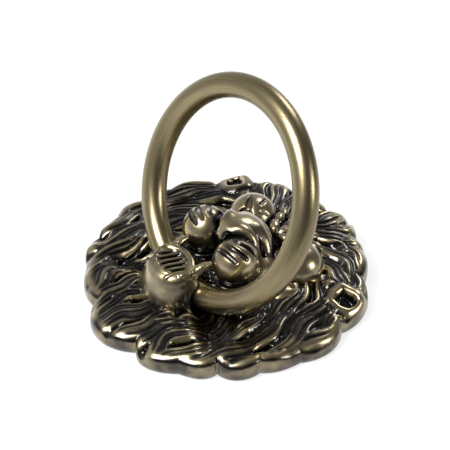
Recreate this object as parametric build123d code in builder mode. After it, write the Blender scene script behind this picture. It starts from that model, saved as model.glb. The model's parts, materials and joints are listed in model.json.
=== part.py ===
"""Lion-head door knocker: a cast face with a mane, a screwed-on lower jaw and a captive ring.

Millimetres. The back face lies on the XY plane, the forehead points to +Y, the chin to -Y and
the nose to +Z. The origin is the middle of the back face.
"""

import os
from math import cos, radians, sin, sqrt

from build123d import *

# --- mane slab -------------------------------------------------------------------------------
rim_height = 5.0  # of the straight side wall's upper end
rim_foot, rim_foot_slope = 1.8, 35.0  # height and lean, in degrees, of the edge under that wall
rim_edge, rim_slope = 3.4, 30.0  # height and lean of the edge above it

# each lock tip round the rim: its angle, its radius and the radius of the notch after it; the
# angle is 0 at the chin and grows towards the lion's left ear, at +X
lock_tips = [
    (8, 62.4, 56.2), (36, 61.6, 59.4), (49, 60.5, 56.9), (66, 60.8, 58.0), (83, 59.6, 59.0),
    (100, 61.6, 57.6), (129, 61.6, 57.2), (155, 59.6, 57.6), (178, 61.0, 57.0), (201, 59.0, 56.5),
    (215, 58.8, 55.8), (232, 60.0, 55.6), (255, 59.2, 56.4), (273, 58.4, 56.2), (287, 58.2, 56.2),
    (301, 57.4, 56.0), (318, 58.6, 56.0), (333, 57.6, 54.6),
]  # fmt: skip

# --- mane relief -----------------------------------------------------------------------------
dome_radius, dome_rise, dome_y = 46.0, 3.8, 8.0
lock_root_radius, lock_tip_radius = 5.2, 3.6
lock_root_reach, lock_root_height = 38.0, 5.6
lock_tip_inset, lock_tip_height = 6.0, 5.2
lock_lean = 5.0  # degrees that a lock sweeps sideways from root to tip
inner_root_radius, inner_tip_radius = 5.6, 4.4
inner_root_reach, inner_root_height = 28.0, 5.4
inner_tip_reach, inner_tip_height = 47.0, 4.8
crown_lock_angles = (112, 134, 157, 180, 203, 226, 248)
crown_root_reach, crown_root_height, crown_root_radius = 26.0, 8.0, 6.4
crown_tip_reach, crown_tip_height, crown_tip_radius = 45.0, 5.6, 4.8

# --- head ------------------------------------------------------------------------------------
brow_x, brow_y, brow_z, brow_radius = 19.5, 25.0, 11.4, 9.2
cheek_x, cheek_y, cheek_z, cheek_radius = 26.0, 7.0, 5.6, 8.4
snout_x, snout_y, snout_z, snout_radius = 12.0, 10.0, 9.0, 10.0  # under the pads
pad_x, pad_y, pad_z, pad_radius = 12.5, -1.4, 20.0, 9.7
bridge_foot_half_width, bridge_top_half_width = 15.0, 6.5
lip_y, lip_z = -8.6, 21.0  # lower front edge of the upper lip
tip_y, tip_z = 1.0, 30.0  # tip of the nose
nose_top_y, nose_top = 6.0, 31.4
stop_y, stop_z = 21.0, 21.5  # where the nose runs into the forehead
forehead_y, forehead_z = 36.0, 13.0
wing_x, wing_y, wing_z, wing_radius = 6.8, 5.4, 27.0, 5.2
nostril_x, nostril_y, nostril_z = 5.6, 0.0, 27.4
nostril_radius, nostril_depth = 2.5, 4.0
ear_root_x, ear_root_y, ear_root_z, ear_root_radius = 38.0, 30.0, 5.6, 6.0
ear_tip_x, ear_tip_y, ear_tip_z, ear_tip_radius = 46.0, 35.5, 5.0, 5.4
ear_cup_x, ear_cup_y, ear_cup_z, ear_cup_radius = 45.0, 34.0, 11.0, 4.6

# --- ring and its place in the mouth ---------------------------------------------------------
ring_radius = 43.6  # to the middle of the bar
bar_radius = 5.3
hinge_x, hinge_y, hinge_z = 4.0, -18.4, 8.0  # middle of the bar where it lies in the mouth
ring_yaw = 7.0  # degrees that the ring sits askew in the mouth
ring_lean = 26.0  # degrees that the raised ring leans back over the nose
ring_swing = 98.0  # degrees down from there to the mane
mouth_clearance = 0.6  # round the bar as it swings
mouth_half_width, mouth_corner_half_width = 13.0, 34.5
mouth_corner_back, mouth_corner_front = 10.5, 16.5  # from the hinge line
mouth_front_room, mouth_back_room = 1.0, 1.7  # more than the bar needs, between the jaws
mouth_floor_rise = 2.4  # of the floor at the corners over its middle
mouth_floor_sag = 0.1  # of the floor's curve under the flat of its middle
mouth_top = 60.0

# --- lower jaw -------------------------------------------------------------------------------
jaw_seat = 4.6  # height of the flat that the jaw is screwed down on
jaw_height = 21.6
jaw_foot_half_width, jaw_top_half_width, jaw_corner = 15.5, 10.0, 10.0
jaw_back_foot, jaw_back_top = -39.0, -34.6  # outer side of the chin, at its foot and its top
jaw_back_round, jaw_lip_round = 6.0, 1.6
jaw_lip = -17.0  # edge of the lower lip, which overhangs the bar
jaw_fit = 0.15  # gap beside the jaw in its seat and round its key
key_length, key_width, key_depth = 7.0, 4.0, 1.2
fang_x, fang_z, fang_root_radius, fang_tip_radius = 9.3, 20.2, 2.0, 1.2
fang_gap = 0.4  # between a fang's tip and the whisker pad

# --- fixings ---------------------------------------------------------------------------------
screw_x, screw_y = 8.0, -31.5
screw_radius, screw_length = 1.5, 8.5
screw_head_radius, screw_head_height = 2.75, 1.6
washer_radius, washer_thickness = 3.0, 0.5
screw_clearance = 0.2  # round the shank in the mask, and past its end in the jaw
counterbore_radius, counterbore_depth = 3.3, 2.4
driver_slot_width, driver_slot_depth = 0.8, 0.8
insert_radius, insert_length = 3.5, 6.0
insert_bore_radius = 2.1  # tapped M5
insert_spacing = 92.0
boss_radius = 6.2

# --- hollow back -----------------------------------------------------------------------------
mane_hollow_radius, mane_hollow_inner_radius, mane_hollow_depth = 51.0, 36.0, 4.4
head_hollow_radius, head_hollow_depth, head_hollow_y = 19.0, 11.0, 13.0
head_hollow_draft = 20.0
muzzle_hollow_length, muzzle_hollow_width, muzzle_hollow_depth = 14.0, 12.0, 21.0
muzzle_hollow_y, muzzle_hollow_draft = 8.0, 4.0
jaw_land_half_width, jaw_land_front = 36.0, -10.0


def around(angle, radius, height=0.0):
    """A point at a radius from the origin; the angle is 0 at the chin and 90 at +X."""
    return Vector(radius * sin(radians(angle)), -radius * cos(radians(angle)), height)


def notch(first, second):
    """The angle and the point of the outline's notch between two lock tips."""
    angle = first[0] + (second[0] - first[0]) % 360 / 2
    return angle, around(angle, first[2])


def tapered_bar(start, end, start_radius, end_radius):
    """A round-ended bar between two points."""
    start, end = Vector(start), Vector(end)
    along = end - start
    length = along.length
    slope = (start_radius - end_radius) / length
    rise = sqrt(1 - slope * slope)
    first = (start_radius * slope, start_radius * rise)
    last = (length + end_radius * slope, end_radius * rise)
    plane = Plane(origin=start, x_dir=along, z_dir=Vector(0, 0, 1).cross(along))
    with BuildPart(mode=Mode.PRIVATE) as bar:
        with BuildSketch(plane):
            with BuildLine():
                Line((length + end_radius, 0), (-start_radius, 0))
                Line(first, last)
                RadiusArc((-start_radius, 0), first, start_radius)
                RadiusArc(last, (length + end_radius, 0), end_radius)
            make_face()
        revolve(axis=Axis(start, along))
    return bar.part


def ring_plane(swing):
    """The plane of the ring, with its x along the hinge and its y up through the ring."""
    lean = radians(ring_lean - swing)
    yaw = radians(ring_yaw)
    hinge = Vector(cos(yaw), sin(yaw), 0)
    forward = Vector(-sin(yaw), cos(yaw), 0)
    up = forward * sin(lean) + Vector(0, 0, 1) * cos(lean)
    middle = Vector(hinge_x, hinge_y, hinge_z) + up * ring_radius
    return Plane(origin=middle, x_dir=hinge, z_dir=hinge.cross(up))


def ring_solid(swing, gap=0.0):
    """The ring swung down by an angle, with its bar thickened by a gap."""
    plane = ring_plane(swing)
    section = Plane(origin=plane.origin - plane.y_dir * ring_radius, z_dir=plane.x_dir)
    with BuildPart(mode=Mode.PRIVATE) as body:
        with BuildSketch(section):
            Circle(bar_radius + gap)
        revolve(axis=Axis(plane.origin, plane.z_dir))
    return body.part


def hinge_plane():
    """The level plane through the hinge, with its x along the hinge and its y to the nose."""
    yaw = radians(ring_yaw)
    return Plane(
        origin=(hinge_x, hinge_y, hinge_z), x_dir=(cos(yaw), sin(yaw), 0), z_dir=(0, 0, 1)
    )


def bar_spool():
    """The room that the ring's bar turns in near the hinge."""
    inner = ring_radius - bar_radius
    reach = jaw_foot_half_width + abs(hinge_x) + bar_radius
    waist = bar_radius + mouth_clearance
    flare = ring_radius - sqrt(inner**2 - reach**2) + mouth_clearance
    level = hinge_plane()
    with BuildPart(mode=Mode.PRIVATE) as spool:
        with BuildSketch(level):
            with BuildLine():
                Polyline((reach, flare), (reach, 0), (-reach, 0), (-reach, flare))
                ThreePointArc((-reach, flare), (0, waist), (reach, flare))
            make_face()
        revolve(axis=Axis(level.origin, level.x_dir))
    return spool.part


def mouth_room():
    """The trough across the mask that the bar lies and turns in."""
    level = hinge_plane()
    bar = bar_radius + mouth_clearance
    front = bar + mouth_front_room
    back = bar + mouth_back_room
    wide, narrow = mouth_corner_half_width, mouth_half_width
    with BuildPart(mode=Mode.PRIVATE) as room:
        with BuildSketch(level.offset(-bar)):
            with BuildLine():
                Polyline(
                    (-wide, mouth_corner_back),
                    (-narrow, mouth_corner_back),
                    (-narrow, back),
                    (narrow, back),
                    (narrow, mouth_corner_back),
                    (wide, mouth_corner_back),
                    (wide, -mouth_corner_front),
                    (narrow, -mouth_corner_front),
                    (narrow, -front),
                    (-narrow, -front),
                    (-narrow, -mouth_corner_front),
                    (-wide, -mouth_corner_front),
                    close=True,
                )
            make_face()
        extrude(amount=mouth_top)
        # the floor curves up to the corners of the mouth
        across = Plane(origin=level.origin, x_dir=level.x_dir, z_dir=-level.y_dir)
        with BuildSketch(across):
            with BuildLine():
                corner_floor = mouth_floor_rise - bar
                floor = ThreePointArc(
                    (-wide, corner_floor), (0, -bar - mouth_floor_sag), (wide, corner_floor)
                )
                Polyline(floor @ 1, (wide, mouth_top), (-wide, mouth_top), floor @ 0)
            make_face()
        extrude(amount=ring_radius, both=True, mode=Mode.INTERSECT)
    return room.part


def nose_bridge():
    """The upper jaw, nose and forehead: a side profile, narrowed towards its top."""
    with BuildPart(mode=Mode.PRIVATE) as bridge:
        with BuildSketch(Plane.YZ):
            with BuildLine():
                Polyline(
                    (forehead_y, forehead_z), (forehead_y, rim_height), (lip_y, rim_height),
                    (lip_y, lip_z), (tip_y, tip_z),
                )
                Spline((tip_y, tip_z), (nose_top_y, nose_top), (stop_y, stop_z), (forehead_y, forehead_z))
            make_face()
        extrude(amount=bridge_foot_half_width, both=True)
        with BuildSketch(Plane.XZ):
            with BuildLine():
                Polyline(
                    (-bridge_foot_half_width, rim_height), (bridge_foot_half_width, rim_height),
                    (bridge_top_half_width, nose_top), (-bridge_top_half_width, nose_top),
                    close=True,
                )
            make_face()
        extrude(amount=2 * forehead_y, both=True, mode=Mode.INTERSECT)
    return bridge.part


def jaw_plan(gap=0.0):
    """The round-cornered outline of the chin from above, up to the upper lip."""
    foot = jaw_back_foot - gap
    with BuildSketch(mode=Mode.PRIVATE) as plan:
        with Locations((0, foot)):
            RectangleRounded(
                2 * (jaw_foot_half_width + gap), lip_y - foot, jaw_corner,
                align=(Align.CENTER, Align.MIN),
            )
    return plan.sketch


def slab_outline():
    """The scalloped outline of the mane, where it is widest."""
    count = len(lock_tips)
    notches = [notch(lock_tips[i - 1], lock_tips[i])[1] for i in range(count)]
    with BuildSketch(mode=Mode.PRIVATE) as outline:
        with BuildLine():
            for i, (angle, radius, _) in enumerate(lock_tips):
                ThreePointArc(notches[i], around(angle, radius), notches[(i + 1) % count])
        make_face()
    return outline.sketch


def slab_foot():
    """The rolled-under edge of the slab, from its widest outline down to the back face."""
    with BuildPart(mode=Mode.PRIVATE) as foot:
        with BuildSketch():
            add(slab_outline())
        extrude(amount=rim_foot, taper=rim_foot_slope)
        mirror(about=Plane.XY.offset(rim_foot / 2), mode=Mode.REPLACE)
    return foot.part


bridge = nose_bridge()
slab_top = rim_height + rim_edge

with BuildPart() as mask:
    # mane: a scalloped slab with rounded-off edges, and a low dome over it
    with BuildSketch(Plane.XY.offset(rim_foot)):
        add(slab_outline())
    extrude(amount=rim_height - rim_foot)
    add(slab_foot())
    with BuildSketch(Plane.XY.offset(rim_height)):
        add(slab_outline())
    extrude(amount=rim_edge, taper=rim_slope)
    dome_axis = Axis((0, dome_y, 0), (0, 0, 1))
    dome_curve = (dome_radius**2 + dome_rise**2) / (2 * dome_rise)
    with BuildSketch(Plane(origin=(0, dome_y, slab_top), x_dir=(1, 0, 0), z_dir=(0, -1, 0))):
        with BuildLine():
            Polyline((0, dome_rise), (0, -rim_edge), (dome_radius, -rim_edge), (dome_radius, 0))
            RadiusArc((dome_radius, 0), (0, dome_rise), -dome_curve)
        make_face()
    revolve(axis=dome_axis)

    # locks of the mane
    for i, (angle, radius, _) in enumerate(lock_tips):
        root = around(angle - lock_lean, lock_root_reach, lock_root_height)
        tip = around(angle, radius - lock_tip_inset, lock_tip_height)
        add(tapered_bar(root, tip, lock_root_radius, lock_tip_radius))
        between, _ = notch(lock_tips[i - 1], lock_tips[i])
        root = around(between + lock_lean, inner_root_reach, inner_root_height)
        tip = around(between, inner_tip_reach, inner_tip_height)
        add(tapered_bar(root, tip, inner_root_radius, inner_tip_radius))
    for angle in crown_lock_angles:
        root = around(angle, crown_root_reach, crown_root_height)
        tip = around(angle, crown_tip_reach, crown_tip_height)
        add(tapered_bar(root, tip, crown_root_radius, crown_tip_radius))

    # head: nose bridge, brows, cheeks, snout, wings of the nose and ears
    add(bridge)
    for side in (-1, 1):
        for x, y, z, radius in (
            (brow_x, brow_y, brow_z, brow_radius),
            (cheek_x, cheek_y, cheek_z, cheek_radius),
            (snout_x, snout_y, snout_z, snout_radius),
            (wing_x, wing_y, wing_z, wing_radius),
        ):
            with Locations((side * x, y, z)):
                Sphere(radius)
        ear_root = (side * ear_root_x, ear_root_y, ear_root_z)
        ear_tip = (side * ear_tip_x, ear_tip_y, ear_tip_z)
        add(tapered_bar(ear_root, ear_tip, ear_root_radius, ear_tip_radius))
    for side in (-1, 1):
        # ear cup and nostril
        with Locations((side * ear_cup_x, ear_cup_y, ear_cup_z)):
            Sphere(ear_cup_radius, mode=Mode.SUBTRACT)
        nostril = Plane(origin=(side * nostril_x, nostril_y, nostril_z), z_dir=(0, 1, 0))
        with BuildSketch(nostril):
            Circle(nostril_radius)
        extrude(amount=nostril_depth, both=True, mode=Mode.SUBTRACT)
    split(bisect_by=Plane.XY, keep=Keep.TOP)

    # mouth, the seat of the lower jaw with its keyway, and the groove of the lowered ring
    add(mouth_room(), mode=Mode.SUBTRACT)
    add(ring_solid(ring_swing, mouth_clearance), mode=Mode.SUBTRACT)
    with BuildSketch(Plane.XY.offset(jaw_seat)):
        add(jaw_plan(jaw_fit))
    extrude(amount=mouth_top, mode=Mode.SUBTRACT)
    with BuildSketch(Plane(origin=(0, screw_y, jaw_seat), z_dir=(0, 0, -1))):
        Rectangle(key_length + 2 * jaw_fit, key_width + 2 * jaw_fit)
    extrude(amount=key_depth + jaw_fit, mode=Mode.SUBTRACT)

    # whisker pads, which hang over the mouth in front of the ring's bar
    with Locations((-pad_x, pad_y, pad_z), (pad_x, pad_y, pad_z)):
        Sphere(pad_radius)

    # hollow back, with a land under the jaw and a boss round each insert
    with BuildSketch():
        Circle(mane_hollow_radius)
        Circle(mane_hollow_inner_radius, mode=Mode.SUBTRACT)
        with Locations((0, jaw_land_front)):
            Rectangle(2 * jaw_land_half_width, 2 * mane_hollow_radius, align=(Align.CENTER, Align.MAX),
                      mode=Mode.SUBTRACT)
        with Locations((-insert_spacing / 2, 0), (insert_spacing / 2, 0)):
            Circle(boss_radius, mode=Mode.SUBTRACT)
    extrude(amount=mane_hollow_depth, mode=Mode.SUBTRACT)
    with BuildSketch():
        with Locations((0, head_hollow_y)):
            Circle(head_hollow_radius)
    extrude(amount=head_hollow_depth, taper=head_hollow_draft, mode=Mode.SUBTRACT)
    with BuildSketch():
        with Locations((0, muzzle_hollow_y)):
            Rectangle(muzzle_hollow_width, muzzle_hollow_length)
    extrude(amount=muzzle_hollow_depth, taper=muzzle_hollow_draft, mode=Mode.SUBTRACT)

    # screw holes of the jaw, counterbored from behind, and the bores of the inserts
    with BuildSketch():
        with Locations((-screw_x, screw_y), (screw_x, screw_y)):
            Circle(counterbore_radius)
    extrude(amount=counterbore_depth, mode=Mode.SUBTRACT)
    with BuildSketch():
        with Locations((-screw_x, screw_y), (screw_x, screw_y)):
            Circle(screw_radius + screw_clearance)
    extrude(amount=jaw_seat, mode=Mode.SUBTRACT)
    with BuildSketch():
        with Locations((-insert_spacing / 2, 0), (insert_spacing / 2, 0)):
            Circle(insert_radius)
    extrude(amount=insert_length, mode=Mode.SUBTRACT)

screw_end = counterbore_depth + screw_length

with BuildPart() as lower_jaw:
    # chin, seen from the side, narrowed towards its top
    with BuildSketch(Plane.YZ):
        with BuildLine():
            Polyline(
                (jaw_back_top, jaw_height - jaw_back_round), (jaw_back_foot, jaw_seat),
                (hinge_y, jaw_seat), (jaw_lip, jaw_seat), (jaw_lip, jaw_height - jaw_lip_round),
            )
            RadiusArc(
                (jaw_lip, jaw_height - jaw_lip_round), (jaw_lip - jaw_lip_round, jaw_height),
                -jaw_lip_round,
            )
            Line((jaw_lip - jaw_lip_round, jaw_height), (jaw_back_top + jaw_back_round, jaw_height))
            RadiusArc(
                (jaw_back_top + jaw_back_round, jaw_height),
                (jaw_back_top, jaw_height - jaw_back_round),
                -jaw_back_round,
            )
        make_face()
    extrude(amount=jaw_foot_half_width, both=True)
    with BuildSketch(Plane.XZ):
        with BuildLine():
            Polyline(
                (-jaw_foot_half_width, jaw_seat), (jaw_foot_half_width, jaw_seat),
                (jaw_top_half_width, jaw_height), (-jaw_top_half_width, jaw_height),
                close=True,
            )
        make_face()
    extrude(amount=-jaw_back_foot, both=True, mode=Mode.INTERSECT)
    with BuildSketch():
        add(jaw_plan())
    extrude(amount=mouth_top, mode=Mode.INTERSECT)
    # the fangs, before the bar's room is cut
    pad_front = pad_y - sqrt(pad_radius**2 - (pad_x - fang_x) ** 2)
    for side in (-1, 1):
        root = (side * fang_x, jaw_lip - fang_root_radius, fang_z)
        tip = (side * fang_x, pad_front - fang_gap - fang_tip_radius, fang_z)
        add(tapered_bar(root, tip, fang_root_radius, fang_tip_radius))
    add(bar_spool(), mode=Mode.SUBTRACT)
    # what the bar's room leaves under the lip, in front of the seat, goes too
    with BuildSketch(Plane.XY.offset(jaw_seat)):
        with BuildLine():
            Polyline(
                (-mouth_corner_half_width, hinge_y - mouth_clearance),
                (mouth_corner_half_width, hinge_y - mouth_clearance),
                (mouth_corner_half_width, 0), (-mouth_corner_half_width, 0),
                close=True,
            )
        make_face()
    extrude(amount=hinge_z - jaw_seat, mode=Mode.SUBTRACT)
    # key and tapped holes
    with BuildSketch(Plane(origin=(0, screw_y, jaw_seat), z_dir=(0, 0, -1))):
        Rectangle(key_length, key_width)
    extrude(amount=key_depth)
    with BuildSketch(Plane.XY.offset(jaw_seat)):
        with Locations((-screw_x, screw_y), (screw_x, screw_y)):
            Circle(screw_radius)
    extrude(amount=screw_end + screw_clearance - jaw_seat, mode=Mode.SUBTRACT)

washer_bottom = counterbore_depth - washer_thickness
head_bottom = washer_bottom - screw_head_height

with BuildPart() as jaw_screws:
    # pan heads with a driver slot, and plain shanks
    with BuildSketch(Plane.XY.offset(head_bottom)):
        with Locations((-screw_x, screw_y), (screw_x, screw_y)):
            Circle(screw_head_radius)
    extrude(amount=screw_head_height)
    with BuildSketch(Plane.XY.offset(head_bottom)):
        with Locations((-screw_x, screw_y), (screw_x, screw_y)):
            Rectangle(2 * screw_head_radius, driver_slot_width)
    extrude(amount=driver_slot_depth, mode=Mode.SUBTRACT)
    with BuildSketch(Plane.XY.offset(washer_bottom)):
        with Locations((-screw_x, screw_y), (screw_x, screw_y)):
            Circle(screw_radius)
    extrude(amount=screw_end - washer_bottom)

with BuildPart() as jaw_lock_washers:
    with BuildSketch(Plane.XY.offset(washer_bottom)):
        with Locations((-screw_x, screw_y), (screw_x, screw_y)):
            Circle(washer_radius)
            Circle(screw_radius + screw_clearance, mode=Mode.SUBTRACT)
    extrude(amount=washer_thickness)

with BuildPart() as threaded_inserts:
    with BuildSketch():
        with Locations((-insert_spacing / 2, 0), (insert_spacing / 2, 0)):
            Circle(insert_radius)
            Circle(insert_bore_radius, mode=Mode.SUBTRACT)
    extrude(amount=insert_length)

with BuildPart() as ring:
    add(ring_solid(0))

os.makedirs("parts", exist_ok=True)
for name, piece in (
    ("mask", mask),
    ("lower_jaw", lower_jaw),
    ("jaw_screws", jaw_screws),
    ("jaw_lock_washers", jaw_lock_washers),
    ("threaded_inserts", threaded_inserts),
    ("ring", ring),
):
    piece.part.label = name
    export_step(piece.part, f"parts/{name}.step")
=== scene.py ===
"""Lion-head door knocker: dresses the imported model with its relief, its finish and a studio."""

import json
from math import cos, pi, radians, sin

import bpy
import numpy as np
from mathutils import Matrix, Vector


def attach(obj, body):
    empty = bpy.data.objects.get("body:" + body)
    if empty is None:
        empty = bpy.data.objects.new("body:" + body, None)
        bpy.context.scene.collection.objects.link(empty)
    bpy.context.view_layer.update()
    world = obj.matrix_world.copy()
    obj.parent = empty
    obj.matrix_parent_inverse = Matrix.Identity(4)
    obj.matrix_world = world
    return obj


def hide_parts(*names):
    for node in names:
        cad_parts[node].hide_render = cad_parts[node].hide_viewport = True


MM = 0.001

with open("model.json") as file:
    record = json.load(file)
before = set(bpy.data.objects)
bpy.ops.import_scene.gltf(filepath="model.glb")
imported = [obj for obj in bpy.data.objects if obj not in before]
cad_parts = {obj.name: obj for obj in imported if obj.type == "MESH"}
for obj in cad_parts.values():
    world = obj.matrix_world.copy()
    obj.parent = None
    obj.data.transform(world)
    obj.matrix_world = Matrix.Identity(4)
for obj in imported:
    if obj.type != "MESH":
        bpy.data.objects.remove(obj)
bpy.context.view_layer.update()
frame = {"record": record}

# ---- sizes, in millimetres: +Y is the forehead, -Y the chin, +X the lion's left, +Z off the door ----
RING_RADIUS = 43.6  # to the middle of its bar
BAR_RADIUS = 5.3
SWING = frame["record"]["behaviour"]["joints"][0]
HINGE = np.array(SWING["pos_m"]) / MM
HINGE_AXIS = np.array(SWING["axis"])
RING_LEAN = 26.0  # degrees that the raised ring leans back over the nose
STREAK_LENGTH, STREAK_WIDTH = 17.03125, 0.36805556  # of the brushing along its bar
RUNNING_GAP = 0.35  # between the bar and the castings, all through its swing
SWING_STEP = 3.5  # degrees between the places where the bar's room is worked out

# the back of the casting: a boss round each insert, counterbores for the jaw's screws, the land
# under the jaw, and three hollows
INSERT_AT, INSERT_RADIUS, INSERT_LENGTH, BOSS_RADIUS = 46.0, 3.4, 6.0, 6.2
SCREW_AT, COUNTERBORE_RADIUS, COUNTERBORE_DEPTH = (8.0, -31.5), 3.3, 2.4
JAW_LAND_HALF_WIDTH, JAW_LAND_TOP = 36.0, -10.0
MANE_HOLLOW_INNER, MANE_HOLLOW_OUTER, MANE_HOLLOW_DEPTH = 36.0, 51.0, 4.4
MANE_INNER_RADIUS = 21.0  # of the mane's inner edge, a circle round the head's hollow
HEAD_AT, HEAD_RADIUS, HEAD_DEPTH, HEAD_DRAFT = 13.0, 19.0, 11.0, 20.0
MUZZLE_AT, MUZZLE_HALF_WIDTH, MUZZLE_HALF_LENGTH, MUZZLE_DEPTH = 8.0, 6.0, 7.0, 21.0
MUZZLE_TAPER = 0.07  # how much its walls close in for each millimetre of depth
CASTING_WALL = 1.6
LINING = 0.3  # how far the face and the tongue keep behind the back's own surface
BACK_RUB = 0.2  # the back keeps its dark patina
FOREHEAD_AT, FOREHEAD_RADII = 14.0, (31.0, 26.0, 12.5)

# lobes of the mane: angle from the chin, radius of the tip, radius of the notch after it
LOBES = [
    (8, 62.4, 56.2), (36, 61.6, 59.4), (49, 60.5, 56.9), (66, 60.8, 58.0), (83, 59.6, 59.0),
    (100, 61.6, 57.6), (129, 61.6, 57.2), (155, 59.6, 57.6), (178, 61.0, 57.0), (201, 59.0, 56.5),
    (215, 58.8, 55.8), (232, 60.0, 55.6), (255, 59.2, 56.4), (273, 58.4, 56.2), (287, 58.2, 56.2),
    (301, 57.4, 56.0), (318, 58.6, 56.0), (333, 57.6, 54.6),
]  # fmt: skip

# locks of the mane: root, middle and tip on the disc, half widths there, and rise
LOCKS = [
    # low hair round the jaw, which the ring passes over
    ((20, -19), (23, -27), (23, -40), (2.4, 4.2, 3), 1.0),
    ((25, -8), (29, -17), (29, -30), (2.4, 4.2, 2.6), 1.0),
    ((-19, -20), (-21, -29), (-20, -40), (2.4, 4.2, 3), 1.0),
    ((-24, -8), (-29, -18), (-28, -31), (2.4, 4.4, 2.6), 1.0),
    ((-25, 6), (-33, -5), (-35, -20), (2.6, 4.6, 2.6), 1.0),
    # beside and behind the face, lowest first
    ((30, 30), (45, 18), (50, -4), (3, 6.5, 3), 1.2),
    ((28, 20), (38, 7), (40, -12), (3, 5.5, 2.5), 1.2),
    ((26, 8), (33, -2), (35, -16), (2.5, 4.5, 2), 1.0),
    ((50, 24), (56.5, 10), (57, -10), (3, 4.5, 2.6), 1.6),
    ((44, 22), (51, 6), (55, -13), (2, 3.8, 2), 2.0),
    ((40, 8), (45, -6), (51, -20), (2, 3.4, 1.8), 2.2),
    ((33, -1), (39, -12), (38, -27), (1.6, 3.4, 1.4), 2.0),
    ((32, -12), (35.5, -20), (34, -30), (1.5, 2.6, 1.3), 1.8),
    ((55, -3), (57, -15), (53, -31), (3, 5.2, 3), 2.4),
    ((45, -12), (47, -28), (41, -45), (2.5, 5.8, 3.5), 2.8),
    ((38, -18), (38, -34), (35, -50), (2, 4.4, 3.2), 2.2),
    ((31, -24), (27, -38), (32, -50), (2.5, 4.2, 3.5), 2.4),
    ((24, -28), (21, -42), (22, -54), (2.5, 4.4, 3), 1.8),
    ((15, -36), (16, -47), (16, -59), (3.5, 4.2, 3.4), 2.2),
    ((7, -37), (6, -49), (6, -61), (4.5, 5.4, 4.4), 2.4),
    ((-4, -37), (-4, -47), (0, -58), (4, 4.6, 3.6), 2.0),
    ((-12, -35), (-9, -46), (-7, -56), (3, 4.2, 3), 2.2),
    ((-22, -30), (-19, -43), (-13, -54), (3, 5, 3.4), 2.6),
    ((-29, -28), (-28, -41), (-21, -52), (2.6, 4.6, 3.2), 2.4),
    ((-36, -16), (-31, -31), (-30, -47), (2.6, 4.8, 3), 2.4),
    ((-43, -12), (-37, -28), (-39, -43), (3, 4.4, 3), 2.6),
    ((-50, -10), (-47, -26), (-44, -39), (3, 4.2, 3), 2.2),
    ((-55, 2), (-55, -12), (-49, -26), (2.4, 3.8, 2.4), 2.4),
    ((-30, 30), (-44, 18), (-50, -2), (3, 6.5, 3), 1.2),
    ((-26, 16), (-36, 6), (-42, -10), (3, 5.5, 2.5), 1.6),
    ((-48, 26), (-55, 12), (-56, -6), (3, 4.5, 2.6), 2.2),
    ((-42, 22), (-49, 8), (-50, -12), (2, 4.2, 2), 2.4),
    # over the forehead
    ((40, 24), (50, 22), (56, 14), (2, 3.4, 2), 1.6),
    ((22, 34), (33, 37), (42, 30), (2.5, 4.4, 2.5), 1.8),
    ((14, 38), (26, 43), (39, 38), (2.5, 4.4, 2.5), 2.2),
    ((15, 46), (28, 50), (41, 41), (2.5, 4.6, 2.5), 2.2),
    ((4, 38), (11, 47), (22, 50), (2.5, 4.4, 2.5), 2.0),
    ((10, 44), (17, 53), (15, 59), (2.5, 4, 2.5), 2.4),
    ((3, 44), (8, 54), (6, 60), (3, 4.6, 2.8), 2.0),
    ((-3, 42), (-1, 52), (-4, 60), (3, 4.6, 3), 2.0),
    ((-10, 42), (-13, 51), (-11, 58), (2.6, 4.4, 2.6), 2.2),
    ((-14, 38), (-20, 48), (-17, 56), (2.6, 4.4, 2.6), 2.2),
    ((-20, 36), (-28, 45), (-28, 52), (2.6, 4.6, 2.6), 2.4),
    ((-26, 34), (-36, 41), (-38, 46), (2.6, 4.4, 2.6), 2.2),
    ((-40, 22), (-50, 22), (-55, 14), (2, 3.4, 2), 1.8),
]  # fmt: skip
LOCK_SPREAD = 1.18  # each lock runs a little over its neighbours
LOCK_SWAY, LOCK_WAVES = 0.045, 1.25  # how far each waves, as a share of its length, and how often
LOCK_SINK = 0.9  # how far its edges sink into the ground
STRAND_PITCHES = (3.4, 2.6, 3.0)  # the locks take these in turn
ODD_STRAND_DROP = 0.22  # how much lower every other strand is, as a share


def hexcol(code):
    """An sRGB hex colour as linear RGBA."""
    parts = [int(code[i : i + 2], 16) / 255 for i in (1, 3, 5)]
    lin = [p / 12.92 if p <= 0.04045 else ((p + 0.055) / 1.055) ** 2.4 for p in parts]
    return (*lin, 1.0)


def add_node(tree, kind, links=None, stops=(), **values):
    """Add one node: values set it by name, links join or set its inputs, stops colour its ramp."""
    node = tree.nodes.new(kind)
    for name, value in values.items():
        if hasattr(node, name):
            setattr(node, name, value)
        else:
            node.inputs[name.replace("_", " ")].default_value = value
    for key, value in (links or {}).items():
        if isinstance(value, bpy.types.NodeSocket):
            tree.links.new(value, node.inputs[key])
        else:
            node.inputs[key].default_value = value
    for k, (at, code) in enumerate(stops):
        stop = node.color_ramp.elements[k] if k < 2 else node.color_ramp.elements.new(at)
        stop.position, stop.color = at, hexcol(code)
    return node


def placed(name, data):
    """A new object in the scene."""
    obj = bpy.data.objects.new(name, data)
    bpy.context.scene.collection.objects.link(obj)
    return obj


# ---- ring: where its bar passes, so that nothing stands in its way ----
def ring_line(swing, count=300):
    """Points along the middle of the ring's bar, swung down by an angle in degrees."""
    lean = radians(RING_LEAN - swing)
    forward = np.array([-HINGE_AXIS[1], HINGE_AXIS[0], 0])
    up = forward * sin(lean) + np.array([0, 0, cos(lean)])
    turn = np.linspace(-pi, pi, count, endpoint=False)[:, None]
    reach = RING_RADIUS * (HINGE_AXIS * np.sin(turn) + up * (1 - np.cos(turn)))
    return HINGE + reach


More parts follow.
